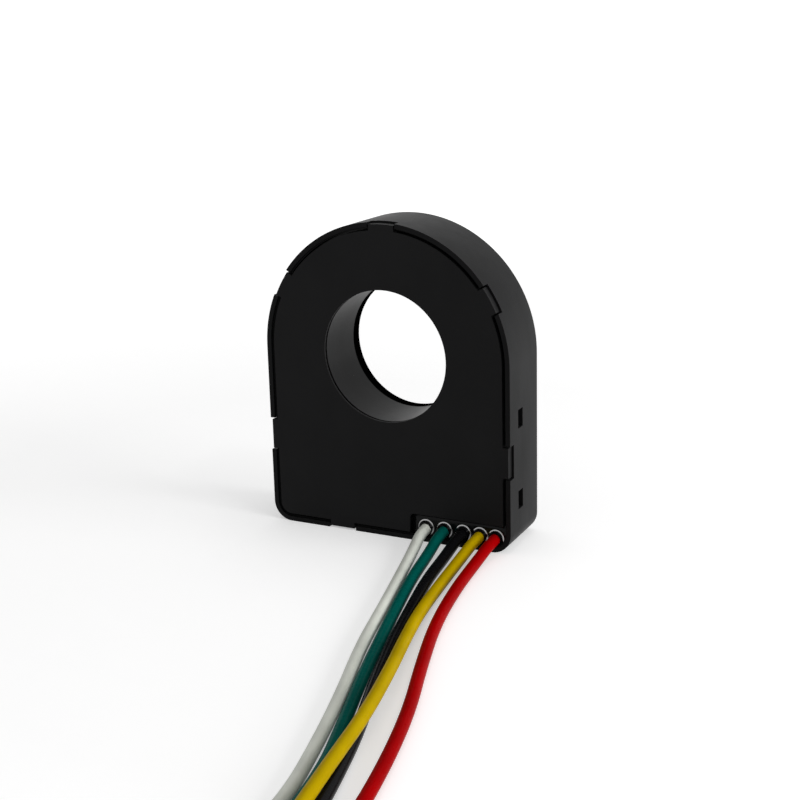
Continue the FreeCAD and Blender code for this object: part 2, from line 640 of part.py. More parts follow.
def lead_points(colour):
    """The points a lead's centre line turns at, from the board to where it is stripped."""
    x = lead_exit(colour)
    over = LEAD_OD + LEAD_CROSSING_GAP
    points = [Vec(x, LEAD_START_Y, LEAD_HEIGHT), Vec(x, FRONT_Y - LEAD_STRAIGHT, LEAD_HEIGHT)]
    for right, forward, lift in LEAD_ROUTES[colour][1]:
        points.append(Vec(x + right, FRONT_Y - forward, LEAD_LYING_Z + lift * over))
    return points


def lead(colour):
    """One lead's insulation, as it lies from the board to where it is stripped."""
    points = lead_points(colour)
    path, length, radii = rounded_path(points)
    solid = tube(path, points[0], points[1] - points[0], LEAD_OD / 2)
    outside = length - (points[0].y - FRONT_Y)
    fill = solid.Volume / (math.pi * (LEAD_OD / 2) ** 2 * length)
    print("lead", colour, "length outside", round(outside, 1), "with the stripped end",
          round(outside + STRIP_LENGTH, 1), "volume share", round(fill, 4),
          "radii", [round(radius, 1) for radius in radii])
    return solid


def tinned_end(colour):
    """The stripped and tinned strands on a lead's far end."""
    before, end = lead_points(colour)[-2:]
    strand = Part.makeCylinder(STRAND_OD / 2, STRIP_LENGTH, end, (end - before).normalize())
    tip = [e for e in strand.Edges if (e.CenterOfMass - end).Length > STRIP_LENGTH * 0.9 and e.Closed]
    return strand.makeFillet(STRAND_OD / 5, tip)


def meniscus(x):
    """The resin that has crept up one lead: a hollow-sided ring, before the lead is cut out of it."""
    inner = LEAD_OD / 2
    outer = inner + MENISCUS_REACH
    top = FRONT_Y
    low = POTTING_Y
    base = Vec(outer, low, 0)
    rim = Vec(inner + MENISCUS_LIP, top, 0)
    outward, upward = MENISCUS_HOLLOW
    hollow = Vec(inner + MENISCUS_LIP + MENISCUS_REACH * outward, low - POTTING_RECESS * upward, 0)
    edges = [
        Part.Arc(base, hollow, rim).toShape(),
        Part.LineSegment(rim, Vec(0, top, 0)).toShape(),
        Part.LineSegment(Vec(0, top, 0), Vec(0, low, 0)).toShape(),
        Part.LineSegment(Vec(0, low, 0), base).toShape(),
    ]
    turned = Part.Face(Part.Wire(edges)).revolve(Vec(0, 0, 0), Vec(0, 1, 0), 360)
    turned.translate(Vec(x, 0, LEAD_HEIGHT))
    return turned


def potting_compound(inner_pieces):
    """Resin that fills the case round everything in it and stands in the lead outlet."""
    fill = d_prism(CASE_WALL, COVER_BACK_Y, CAVITY_BACK_Y)
    pool = outlet_block(CASE_HALF_WIDTH, 0, POTTING_Y, COVER_BACK_Y)
    pool = join([pool] + [meniscus(lead_exit(colour)) for colour in LEAD_ROUTES])
    pool = pool.common(d_prism(CASE_WALL, FRONT_Y, COVER_BACK_Y))
    return join([fill, pool]).cut([bore_tube()] + board_posts() + inner_pieces)


def build():
    cover = front_cover()
    tape = insulating_tape()
    wound = annulus(TAPE_IN, TAPE_OUT, RING_CENTRE_Y - TAPE_HALF, RING_CENTRE_Y + TAPE_HALF)
    test_turns = test_winding()
    leads = {colour: lead(colour) for colour in LEAD_ROUTES}
    on_the_board = {
        "circuit_board": circuit_board(),
        "microcontroller": microcontroller(),
        "bridge_driver": bridge_driver(),
        "sense_amplifier": sense_amplifier(),
        "voltage_regulator": voltage_regulator(),
        "output_transistor": output_transistor(),
        "protection_diode": protection_diode(),
        "chip_resistors": chips(RESISTORS_AT, RESISTOR_SIZE),
        "chip_capacitors": chips(CAPACITORS_AT, CAPACITOR_SIZE),
        "lead_core_ends": lead_core_ends(),
    }
    buried = [cover, wound, test_turns] + winding_leads() + list(leads.values()) + list(on_the_board.values())
    write("case_shell", case_shell())
    write("front_cover", cover)
    write("magnetic_core", magnetic_core())
    write("core_box", core_box())
    write("core_box_lid", core_box_lid())
    write("sense_winding", sense_winding())
    write("insulating_tape", tape)
    write("test_winding", test_turns)
    for node, shape in on_the_board.items():
        write(node, shape)
    write("potting_compound", potting_compound(buried))
    for colour, shape in leads.items():
        write("lead_" + colour, shape)
        write("tinned_end_" + colour, tinned_end(colour))


build()
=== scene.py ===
import math

import bmesh
import bpy
from mathutils import Matrix, Vector


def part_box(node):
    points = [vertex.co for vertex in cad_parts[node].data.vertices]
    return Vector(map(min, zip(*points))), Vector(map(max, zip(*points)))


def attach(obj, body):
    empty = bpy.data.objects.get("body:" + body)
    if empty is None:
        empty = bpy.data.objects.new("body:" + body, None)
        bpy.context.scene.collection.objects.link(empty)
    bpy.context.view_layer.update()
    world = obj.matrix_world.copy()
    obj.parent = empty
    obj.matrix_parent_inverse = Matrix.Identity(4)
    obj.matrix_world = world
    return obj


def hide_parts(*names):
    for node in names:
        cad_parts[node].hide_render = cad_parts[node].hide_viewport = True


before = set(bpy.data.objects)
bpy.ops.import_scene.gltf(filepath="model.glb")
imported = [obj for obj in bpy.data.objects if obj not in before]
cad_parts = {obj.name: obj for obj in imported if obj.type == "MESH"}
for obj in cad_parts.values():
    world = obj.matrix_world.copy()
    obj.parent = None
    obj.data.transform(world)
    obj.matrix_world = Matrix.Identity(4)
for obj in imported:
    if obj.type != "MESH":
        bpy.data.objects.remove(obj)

bl_info = {
    "name": "Residual Current Sensor",
    "version": (1, 0, 0),
    "blender": (4, 5, 0),
    "location": "3D View > Sidebar > Sensor",
    "description": "Models and finishes a potted ring sensor module with five flying leads",
    "category": "Object",
}

MM = 0.001
CASE_LOW, CASE_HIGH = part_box("case_shell")
BORE_HEIGHT = 0.02802
ROUND_STEPS = 160

# How far a cutting tool reaches past the surface that it cuts
OVERCUT = 0.001

# The room cut for the bore tube in the back wall, and the rim by which the tube fills it, outside the tube
TUBE_ROOM = 0.0008
TUBE_RIM = 0.001

# Cover tabs: their places round the aperture's axis and up the sides, and their clearance in the notches
ARCH_TAB_TURNS = (30.0, 90.0, 150.0)
ARCH_TAB_WIDTH = 0.0040
SIDE_TAB_WIDTH = 0.0046
SIDE_TAB_BELOW_BORE = 0.01405
BOTTOM_TAB_WIDTH = 0.0041
BOTTOM_TAB_OFFSET = -0.0080
TAB_END_GAP = 0.00025
TAB_UNDER_GAP = 0.00015

# Snap windows, and the arms whose noses stand in them, with depths counted from the case's front
SNAP_HEIGHTS = (BORE_HEIGHT - 0.0082, BORE_HEIGHT - 0.0206)
WINDOW_FRONT = 0.0032
WINDOW_REAR = 0.0050
WINDOW_HALF_HEIGHT = 0.0014
NOSE_CATCH = 0.0033
NOSE_RAMP = 0.0049
NOSE_RECESS = 0.00035
ARM_GAP = 0.00015
ARM_THICKNESS = 0.0008
ARM_HALF_WIDTH = 0.0012
ARM_OVERLAP = 0.0004

# Centre lines of the leads: lying on the table, in the outlet, and one lead over another
LEAD_LYING = 0.00086
LEAD_HEIGHT = 0.00214
LEAD_START = 0.0043
LEAD_STRAIGHT = 0.0009
LEAD_OVER = 0.00178

# Where the resin's rings get a painted highlight, an over-reflective material that makes the lamps show bright arcs:
# out from the lead's axis, and back from the case's front
HIGHLIGHT_INNER = 0.00112
HIGHLIGHT_OUTER = 0.00136
HIGHLIGHT_DEPTH = 0.0013

# Each lead's place in the outlet, in from the case's right side, and the points its centre line follows:
# right of that place, forward of the case's face, and its share of the lift over another lead.
LEAD_ROUTES = {
    "white": (0.01393, [
        (0.0010, 0.0061, 0), (0.0034, 0.0148, 0), (0.0064, 0.0260, 0), (0.0095, 0.0382, 0),
        (0.0137, 0.0510, 0), (0.0172, 0.0632, 0), (0.0201, 0.0750, 0), (0.0208, 0.0887, 0),
        (0.0185, 0.1040, 0), (0.0149, 0.1233, 0), (0.0144, 0.1421, 0),
    ]),
    "green": (0.01092, [
        (0.0006, 0.0063, 0), (0.0024, 0.0153, 0), (0.0051, 0.0255, 0), (0.0082, 0.0367, 0),
        (0.0113, 0.0474, 0), (0.0147, 0.0581, 0), (0.0178, 0.0683, 0), (0.0195, 0.0801, 0),
        (0.0195, 0.0933, 0), (0.0176, 0.1081, 0), (0.0170, 0.1256, 0), (0.0183, 0.1423, 0),
    ]),
    "black": (0.00786, [
        (0.0002, 0.0063, 0), (0.0016, 0.0153, 0), (0.0041, 0.0255, 0), (0.0068, 0.0362, 0),
        (0.0101, 0.0474, 0), (0.0141, 0.0592, 0), (0.0168, 0.0694, 0), (0.0194, 0.0806, 0),
        (0.0204, 0.0938, 0), (0.0191, 0.1086, 0), (0.0199, 0.1258, 0), (0.0233, 0.1421, 0),
    ]),
    "yellow": (0.00511, [
        (-0.0001, 0.0065, 0), (0.0014, 0.0168, 0), (0.0033, 0.0265, 0.26), (0.0058, 0.0357, 0.6),
        (0.0090, 0.0464, 1), (0.0116, 0.0576, 1), (0.0133, 0.0683, 1), (0.0150, 0.0791, 0.85),
        (0.0157, 0.0903, 0), (0.0142, 0.1035, 0), (0.0143, 0.1236, 0), (0.0165, 0.1431, 0),
    ]),
    "red": (0.00256, [
        (-0.0001, 0.0063, 0), (0.0013, 0.0163, 0), (0.0038, 0.0281, 0), (0.0075, 0.0398, 0),
        (0.0116, 0.0515, 0), (0.0147, 0.0632, 0), (0.0172, 0.0755, 0), (0.0186, 0.0887, 0),
        (0.0179, 0.1035, 0), (0.0193, 0.1232, 0), (0.0243, 0.1420, 0),
    ]),
}


def length_setting(name, description, default):
    return bpy.props.FloatProperty(name=name, description=description, default=default, unit="LENGTH",
                                   subtype="DISTANCE", precision=5, min=0.0)


def colour_setting(name, description, default):
    return bpy.props.FloatVectorProperty(name=name, description=description, default=default, subtype="COLOR",
                                         size=3, min=0.0, max=1.0)


def number_setting(name, description, default, high=1.0):
    return bpy.props.FloatProperty(name=name, description=description, default=default, min=0.0, max=high)


def lead_points(colour):
    """The points that one lead's centre line follows, from the board to where it is stripped."""
    inset, laid = LEAD_ROUTES[colour]
    x, front = CASE_HIGH.x - inset, CASE_LOW.y
    points = [(x, front + LEAD_START, LEAD_HEIGHT), (x, front - LEAD_STRAIGHT, LEAD_HEIGHT)]
    for right, forward, lift in laid:
        points.append((x + right, front - forward, LEAD_LYING + lift * LEAD_OVER))
    return points


class StageSettings(bpy.types.PropertyGroup):
    floor_colour: colour_setting("Floor colour", "Colour of the pale table", (0.80, 0.80, 0.80))
    floor_lift: number_setting("Floor lift", "How far the floor is lifted to white where the camera sees it", 0.40)
    room_light: number_setting("Room light", "Strength of the even light from all round", 0.42)
    key_power: number_setting("Key power", "Watts of the softbox above and to the right", 1.6, 50.0)
    top_power: number_setting("Top power", "Watts of the softbox overhead", 0.4, 50.0)
    spot_power: number_setting("Spot power", "Watts of the small lamp that gives the highlights on the resin rings", 0.12, 50.0)


class CaseSettings(bpy.types.PropertyGroup):
    wall: length_setting("Wall", "Thickness of the case's side wall", 0.0009)
    back: length_setting("Back", "Thickness of the case's back wall", 0.0010)
    corner: length_setting("Corner", "Radius of the two bottom corners", 0.0030)
    back_round: length_setting("Back edge", "Radius of the outer back edge", 0.0008)
    bore: length_setting("Bore", "Radius of the aperture", 0.0100)
    bore_round: length_setting("Bore edge", "Radius of the aperture's back edge", 0.0009)
    draft: number_setting("Draft", "Degrees by which the sides and the arch narrow towards the back", 1.6, 5.0)
    tube: length_setting("Tube", "Outer radius of the bore tube", 0.0110)
    lip: length_setting("Lip", "Outer radius of the thin lip at the tube's mouth", 0.01035)
    lip_depth: length_setting("Lip depth", "How far the lip's end stands behind the front", 0.0007)
    edge: length_setting("Edge", "Softness of the moulded edges", 0.00011)
    step: length_setting("Step", "Width of the lead-in step inside the rim", 0.0002)
    step_depth: length_setting("Step depth", "Depth of the lead-in step inside the rim", 0.0004)
    # The bore band is painted shade: its faces take a near-black, matt material where the bore's back edge lies in
    # shade.
    band: length_setting("Bore band", "Length of the painted shade band at the back of the bore", 0.0016)
    colour: colour_setting("Case colour", "Colour of the moulded case", (0.0065, 0.0065, 0.0068))
    roughness: number_setting("Case roughness", "Roughness of the moulded case", 0.42)


class CoverSettings(bpy.types.PropertyGroup):
    thickness: length_setting("Thickness", "Thickness of the cover plate", 0.0013)
    inset: length_setting("Inset", "Distance of the plate's edge from the case's outside", 0.00122)
    tab_recess: length_setting("Tab recess", "How far the tabs end inside the case's outside", 0.0003)
    hole: length_setting("Hole", "Radius of the cover's hole at its thin front edge", 0.0100)
    hole_edge: length_setting("Hole edge", "Thickness of the thin edge in front of the tube's lip", 0.0003)
    seat: length_setting("Seat", "Radius of the seat behind that edge, round the tube's lip", 0.0106)
    outlet_left: length_setting("Outlet left", "Where the lead outlet starts", 0.00357)
    outlet_top: length_setting("Outlet top", "Height of the lead outlet", 0.00419)
    outlet_round: length_setting("Outlet corner", "Radius of the outlet's inner corner", 0.0008)
    colour: colour_setting("Cover colour", "Colour of the moulded cover", (0.0055, 0.0055, 0.0058))
    roughness: number_setting("Cover roughness", "Roughness of the moulded cover", 0.50)


class LeadSettings(bpy.types.PropertyGroup):
    diameter: length_setting("Diameter", "Outside diameter of each lead", 0.00168)
    length: length_setting("Length", "Length of each lead from the case to its stripped end", 0.145)
    strip: length_setting("Strip", "Length of each stripped end", 0.0049)
    strands: length_setting("Strands", "Diameter of the twisted strands", 0.00078)
    white: colour_setting("White", "White insulation", (0.68, 0.70, 0.635))
    green: colour_setting("Green", "Green insulation", (0.0004, 0.086, 0.070))
    black: colour_setting("Black", "Black insulation", (0.004, 0.004, 0.0045))
    yellow: colour_setting("Yellow", "Yellow insulation", (0.43, 0.295, 0.0002))
    red: colour_setting("Red", "Red insulation", (0.31, 0.0002, 0.0010))


def new_object(name, bm):
    """An object with the mesh that has been modelled."""
    mesh = bpy.data.meshes.new(name)
    bm.to_mesh(mesh)
    bm.free()
    piece = bpy.data.objects.new(name, mesh)
    bpy.context.scene.collection.objects.link(piece)
    return piece


def remove(item):
    """Removes a helper object and its mesh."""
    mesh = item.data
    bpy.data.objects.remove(item)
    bpy.data.meshes.remove(mesh)


def stand_for(piece, node):
    """Puts a finished piece in the place of one node of the frame."""
    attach(piece, "root")
    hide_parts(node)


def combine(piece, bm, operation):
    """Cuts, joins or meets a piece with a tool; both are enlarged meanwhile, to suit the solver's tolerance."""
    tool = new_object("tool", bm)
    for item in (piece, tool):
        item.data.transform(Matrix.Scale(1.0 / MM, 4))
    modifier = piece.modifiers.new(operation.lower(), "BOOLEAN")
    modifier.operation = operation
    modifier.solver = "EXACT"
    modifier.object = tool
    bake_modifiers(piece)
    piece.data.transform(Matrix.Scale(MM, 4))
    remove(tool)


def cut(piece, bm):
    """Cuts a tool out of a piece."""
    combine(piece, bm, "DIFFERENCE")


def bake_modifiers(piece):
    """Applies a piece's modifiers to its mesh."""
    graph = bpy.context.evaluated_depsgraph_get()
    finished = bpy.data.meshes.new_from_object(piece.evaluated_get(graph))
    old = piece.data
    piece.modifiers.clear()
    piece.data = finished
    finished.name = piece.name
    bpy.data.meshes.remove(old)


def clean_flats(piece):
    """Merges loose points and dissolves the lines that cross flat faces."""
    bm = bmesh.new()
    bm.from_mesh(piece.data)
    bmesh.ops.remove_doubles(bm, verts=bm.verts, dist=0.000002)
    bmesh.ops.dissolve_limit(bm, angle_limit=math.radians(0.3), verts=bm.verts, edges=bm.edges)
    bm.to_mesh(piece.data)
    bm.free()


def soften_edges(piece, width):
    """Rounds each sharp edge a little and shades the rest smooth."""
    bevel = piece.modifiers.new("soft edges", "BEVEL")
    bevel.width = width
    bevel.segments = 3
    bevel.limit_method = "ANGLE"
    bevel.angle_limit = math.radians(35.0)
    bevel.harden_normals = True
    bevel.use_clamp_overlap = True
    piece.data.shade_smooth()


def round_off(bm, edges, radius, segments):
    """Rounds the chosen edges of a mesh that is being modelled."""
    bmesh.ops.bevel(bm, geom=edges, offset=radius, offset_type="OFFSET", segments=segments, profile=0.5,
                    affect="EDGES", material=-1)


def arch_prism(inset, y_from, y_to):
    """A prism with the case's outline: half a round on a square foot, narrower towards the back."""
    case = bpy.context.scene.sensor_case
    slope = math.tan(math.radians(case.draft))
    half = CASE_HIGH.x - inset - (y_from - CASE_LOW.y) * slope
    half_end = CASE_HIGH.x - inset - (y_to - CASE_LOW.y) * slope
    bm = bmesh.new()
    place = Matrix.Translation((0, y_from, BORE_HEIGHT)) @ Matrix.Rotation(math.radians(90), 4, "X")
    bmesh.ops.create_circle(bm, cap_ends=True, segments=ROUND_STEPS, radius=half, matrix=place)
    bmesh.ops.bisect_plane(bm, geom=bm.verts[:] + bm.edges[:] + bm.faces[:], plane_co=(0, 0, BORE_HEIGHT),
                           plane_no=(0, 0, -1), clear_outer=True)
    bmesh.ops.remove_doubles(bm, verts=bm.verts, dist=0.000005)
    chord = [e for e in bm.edges if all(abs(v.co.z - BORE_HEIGHT) < 1e-7 for v in e.verts)]
    foot = bmesh.ops.extrude_edge_only(bm, edges=chord)["geom"]
    low = [v for v in foot if isinstance(v, bmesh.types.BMVert)]
    bmesh.ops.translate(bm, verts=low, vec=(0, 0, inset - BORE_HEIGHT))
    bmesh.ops.dissolve_edges(bm, edges=chord)
    solid = bmesh.ops.extrude_face_region(bm, geom=bm.faces[:])["geom"]
    moved = [v for v in solid if isinstance(v, bmesh.types.BMVert)]
    bmesh.ops.translate(bm, verts=moved, vec=(0, y_to - y_from, 0))
    narrow = half_end / half
    arch = [v for v in moved if v.co.z > inset + 1e-6]
    bmesh.ops.scale(bm, verts=arch, vec=(narrow, 1.0, narrow),
                    space=Matrix.Translation((0, 0, -BORE_HEIGHT)))
    feet = [v for v in moved if v.co.z <= inset + 1e-6]
    bmesh.ops.scale(bm, verts=feet, vec=(narrow, 1.0, 1.0))
    bmesh.ops.recalc_face_normals(bm, faces=bm.faces)
    heels = [e for e in bm.edges if all(abs(v.co.z - inset) < 1e-7 for v in e.verts)
             and abs(e.verts[0].co.y - e.verts[1].co.y) > 1e-6]
    round_off(bm, heels, case.corner - inset, 12)
    return bm


def box_into(bm, low, high, turn=0.0):
    """Adds a box between two corners, turned about the aperture's axis by an angle in degrees."""
    low, high = Vector(low), Vector(high)
    about = Matrix.Translation((0, 0, BORE_HEIGHT))
    matrix = about @ Matrix.Rotation(math.radians(-turn), 4, "Y") @ about.inverted()
    matrix = matrix @ Matrix.Translation((low + high) / 2) @ Matrix.Diagonal((*(high - low), 1.0))
    return bmesh.ops.create_cube(bm, size=1.0, matrix=matrix)["verts"]


def spun_ring(profile):
    """A closed ring round the aperture's axis, from the radii and depths of its section's corners."""
    bm = bmesh.new()
    corners = [bm.verts.new((radius, y, BORE_HEIGHT)) for radius, y in profile]
    sides = [bm.edges.new((a, b)) for a, b in zip(corners, corners[1:] + corners[:1])]
    bmesh.ops.spin(bm, geom=corners + sides, cent=(0, 0, BORE_HEIGHT), axis=(0, 1, 0), angle=math.tau,
                   steps=ROUND_STEPS, use_merge=True)
    bmesh.ops.remove_doubles(bm, verts=bm.verts, dist=0.000001)
    bmesh.ops.recalc_face_normals(bm, faces=bm.faces)
    return bm


def disc(radius, y_from, y_to):
    """A round slab on the aperture's axis."""
    bm = bmesh.new()
    place = Matrix.Translation((0, (y_from + y_to) / 2, BORE_HEIGHT)) @ Matrix.Rotation(math.radians(90), 4, "X")
    bmesh.ops.create_cone(bm, cap_ends=True, segments=ROUND_STEPS, radius1=radius, radius2=radius,
                          depth=y_to - y_from, matrix=place)
    return bm


def edge_boxes(widening, y_from, y_to):
    """A box for each of the six cover tabs, or for its notch when it is widened."""
    cover = bpy.context.scene.sensor_cover
    wall = bpy.context.scene.sensor_case.wall
    half_width = CASE_HIGH.x
    places = [(turn, 0.0, half_width, ARCH_TAB_WIDTH) for turn in ARCH_TAB_TURNS]
    places.append((0.0, -SIDE_TAB_BELOW_BORE, half_width, SIDE_TAB_WIDTH))
    places.append((180.0, SIDE_TAB_BELOW_BORE, half_width, SIDE_TAB_WIDTH))
    places.append((270.0, BOTTOM_TAB_OFFSET, BORE_HEIGHT, BOTTOM_TAB_WIDTH))
    bm = bmesh.new()
    for turn, offset, reach, width in places:
        half = width / 2 + widening
        low = (reach - cover.inset - wall, y_from, BORE_HEIGHT + offset - half)
        high = (reach + wall, y_to, BORE_HEIGHT + offset + half)
        box_into(bm, low, high, turn)
    return bm


def ring_edges(bm, radius, y):
    """The edges round the aperture's axis that lie at one radius and depth."""
    def on_ring(vert):
        out = math.hypot(vert.co.x, vert.co.z - BORE_HEIGHT)
        return abs(out - radius) < 5e-6 and abs(vert.co.y - y) < 5e-6
    return [e for e in bm.edges if all(on_ring(v) for v in e.verts)]


def texture_space(tree, scale=(1.0, 1.0, 1.0)):
    """Object coordinates through a mapping, the base of every pattern."""
    coordinates = tree.nodes.new("ShaderNodeTexCoord")
    mapping = tree.nodes.new("ShaderNodeMapping")
    mapping.inputs["Scale"].default_value = scale
    tree.links.new(coordinates.outputs["Object"], mapping.inputs["Vector"])
    return mapping.outputs["Vector"]


def noise(tree, space, size, detail=3.0, roughness=0.5):
    """A cloudy pattern whose blotches are about one size across."""
    node = tree.nodes.new("ShaderNodeTexNoise")
    node.inputs["Scale"].default_value = 1.0 / size
    node.inputs["Detail"].default_value = detail
    node.inputs["Roughness"].default_value = roughness
    tree.links.new(space, node.inputs["Vector"])
    return node.outputs["Fac"]


def spread(tree, value, low, high, from_low=0.3, from_high=0.7):
    """A number that follows a pattern between two limits."""
    node = tree.nodes.new("ShaderNodeMapRange")
    for socket, number in (("From Min", from_low), ("From Max", from_high), ("To Min", low), ("To Max", high)):
        node.inputs[socket].default_value = number
    tree.links.new(value, node.inputs["Value"])
    return node.outputs["Result"]


def tint(tree, value, dark, light):
    """A colour that follows a pattern between two tones."""
    ramp = tree.nodes.new("ShaderNodeValToRGB")
    for end, position, tone in zip(ramp.color_ramp.elements, (0.3, 0.7), (dark, light)):
        end.position = position
        end.color = (*tone, 1.0)
    tree.links.new(value, ramp.inputs["Fac"])
    return ramp.outputs["Color"]


def scaled(colour, factor):
    """A colour made lighter or darker."""
    return tuple(min(1.0, max(0.0, part * factor)) for part in colour)


def bump(tree, height, depth, strength, below=None):
    """A relief of one depth, laid over another relief where there is one below."""
    node = tree.nodes.new("ShaderNodeBump")
    node.inputs["Strength"].default_value = strength
    node.inputs["Distance"].default_value = depth
    tree.links.new(height, node.inputs["Height"])
    if below is not None:
        tree.links.new(below, node.inputs["Normal"])
    return node.outputs["Normal"]


def arithmetic(tree, operation, first, second):
    """One number worked out from two others."""
    node = tree.nodes.new("ShaderNodeMath")
    node.operation = operation
    tree.links.new(first, node.inputs[0])
    tree.links.new(second, node.inputs[1])
    return node.outputs[0]


def ray_that_shows(tree):
    """One for a camera, glossy or transmission ray, and nought for any other."""
    path = tree.nodes.new("ShaderNodeLightPath")
    direct = arithmetic(tree, "MAXIMUM", path.outputs["Is Camera Ray"], path.outputs["Is Glossy Ray"])
    return arithmetic(tree, "MAXIMUM", direct, path.outputs["Is Transmission Ray"])


def new_material(name):
    """A material with its node tree and its main shader."""
    material = bpy.data.materials.new(name)
    material.use_nodes = True
    return material, material.node_tree, material.node_tree.nodes["Principled BSDF"]


def put_on(piece, material):
    """Gives a piece its main material and keeps the marks on the faces that take another one."""
    slots = [face.material_index for face in piece.data.polygons] if piece.type == "MESH" else []
    piece.data.materials.clear()
    piece.data.materials.append(material)
    if slots:
        piece.data.polygons.foreach_set("material_index", slots)


def dusted(tree, space, tone):
    """A tone with a few pale specks of dust on it."""
    cells = tree.nodes.new("ShaderNodeTexVoronoi")
    cells.inputs["Scale"].default_value = 1.0 / 0.0035
    tree.links.new(space, cells.inputs["Vector"])
    near = spread(tree, cells.outputs["Distance"], 1.0, 0.0, 0.02, 0.035)
    few = spread(tree, noise(tree, space, 0.006, 1.0), 0.0, 1.0, 0.60, 0.64)
    mix = tree.nodes.new("ShaderNodeMix")
    mix.data_type = "RGBA"
    mix.inputs["B"].default_value = (0.35, 0.34, 0.32, 1.0)
    tree.links.new(arithmetic(tree, "MULTIPLY", near, few), mix.inputs["Factor"])
    tree.links.new(tone, mix.inputs["A"])
    return mix.outputs["Result"]


def moulded_plastic(name, colour, roughness, specular, grain=0.00022):
    """Injection-moulded plastic: a fine spark-eroded grain with slow changes of tone and gloss."""
    material, tree, shader = new_material(name)
    space = texture_space(tree)
    blotches = noise(tree, space, 0.009, 4.0)
    grains = noise(tree, space, grain, 2.0)
    handling = noise(tree, texture_space(tree, (1.0, 1.0, 0.25)), 0.003, 5.0, 0.6)
    tone = tint(tree, blotches, scaled(colour, 0.82), scaled(colour, 1.2))
    tree.links.new(dusted(tree, space, tone), shader.inputs["Base Color"])
    tree.links.new(spread(tree, handling, roughness - 0.02, roughness + 0.03), shader.inputs["Roughness"])
    flow = bump(tree, blotches, 0.00004, 0.35)
    tree.links.new(bump(tree, grains, 0.00001, 0.8, flow), shader.inputs["Normal"])
    shader.inputs["Specular IOR Level"].default_value = specular
    return material


def wire_insulation(name, colour, roughness, specular):
    """Extruded insulation: a smooth skin with faint dents, slow changes of tone and small handling marks."""
    material, tree, shader = new_material(name)
    space = texture_space(tree)
    cloud = noise(tree, space, 0.006, 3.0)
    marks = noise(tree, space, 0.0006, 4.0, 0.65)
    tree.links.new(tint(tree, cloud, scaled(colour, 0.88), scaled(colour, 1.08)), shader.inputs["Base Color"])
    tree.links.new(spread(tree, marks, roughness - 0.06, roughness + 0.10), shader.inputs["Roughness"])
    dents = bump(tree, noise(tree, space, 0.0030, 1.0), 0.00003, 0.30)
    tree.links.new(bump(tree, marks, 0.0000015, 0.4, dents), shader.inputs["Normal"])
    shader.inputs["Specular IOR Level"].default_value = specular
    return material


def cast_resin(name, colour, specular, ripple_depth, index=1.5):
    """Cured potting resin: glossy, with a slow ripple where it has set."""
    material, tree, shader = new_material(name)
    space = texture_space(tree)
    ripple = noise(tree, space, 0.0018, 2.0)
    haze = noise(tree, space, 0.0007, 4.0)
    tree.links.new(tint(tree, haze, scaled(colour, 0.8), scaled(colour, 1.5)), shader.inputs["Base Color"])
    tree.links.new(spread(tree, haze, 0.10, 0.24), shader.inputs["Roughness"])
    tree.links.new(bump(tree, ripple, ripple_depth, 0.6), shader.inputs["Normal"])
    shader.inputs["Specular IOR Level"].default_value = specular
    shader.inputs["IOR"].default_value = index
    return material


def metal_finish(name, colour, roughness, size, stretch=(1.0, 1.0, 1.0)):
    """Bare or tinned metal with a drawn or cast surface."""
    material, tree, shader = new_material(name)
    space = texture_space(tree, stretch)
    tone = noise(tree, space, size, 3.0)
    fine = noise(tree, space, size / 5, 2.0)
    tree.links.new(tint(tree, tone, scaled(colour, 0.78), scaled(colour, 1.1)), shader.inputs["Base Color"])
    tree.links.new(spread(tree, fine, roughness - 0.08, roughness + 0.12), shader.inputs["Roughness"])
    tree.links.new(bump(tree, fine, size / 60, 0.5), shader.inputs["Normal"])
    shader.inputs["Metallic"].default_value = 1.0
    return material


def coated_surface(name, colour, roughness, size, contrast):
    """Enamel, film, laminate or moulded resin on the sealed pieces."""
    material, tree, shader = new_material(name)
    space = texture_space(tree)
    tone = noise(tree, space, size, 4.0)
    fine = noise(tree, space, size / 8, 2.0)
    dark, light = scaled(colour, 1.0 - contrast), scaled(colour, 1.0 + contrast)
    tree.links.new(tint(tree, tone, dark, light), shader.inputs["Base Color"])
    tree.links.new(spread(tree, fine, roughness - 0.06, roughness + 0.08), shader.inputs["Roughness"])
    tree.links.new(bump(tree, fine, 0.00001, 0.5), shader.inputs["Normal"])
    return material


def strand_twist(diameter, length):
    """Seven twisted strands that start at the origin and run along Z."""
    strand = diameter / 3
    pitch = 0.009
    steps = 24
    bm = bmesh.new()
    for index in range(7):
        out = 0.0 if index == 0 else strand
        place = Matrix.Rotation(math.tau * index / 6, 4, "Z") @ Matrix.Translation((out, 0, 0))
        ring = bmesh.ops.create_circle(bm, cap_ends=True, segments=14, radius=strand / 2, matrix=place)["verts"]
        faces = [f for f in bm.faces if all(v in ring for v in f.verts)]
        edges = [e for f in faces for e in f.edges]
        bmesh.ops.spin(bm, geom=ring + edges + faces, cent=(0, 0, 0), dvec=(0, 0, length / steps), axis=(0, 0, 1),
                       angle=math.tau * length / pitch, steps=steps, use_merge=False)
    bmesh.ops.recalc_face_normals(bm, faces=bm.faces)
    return bm


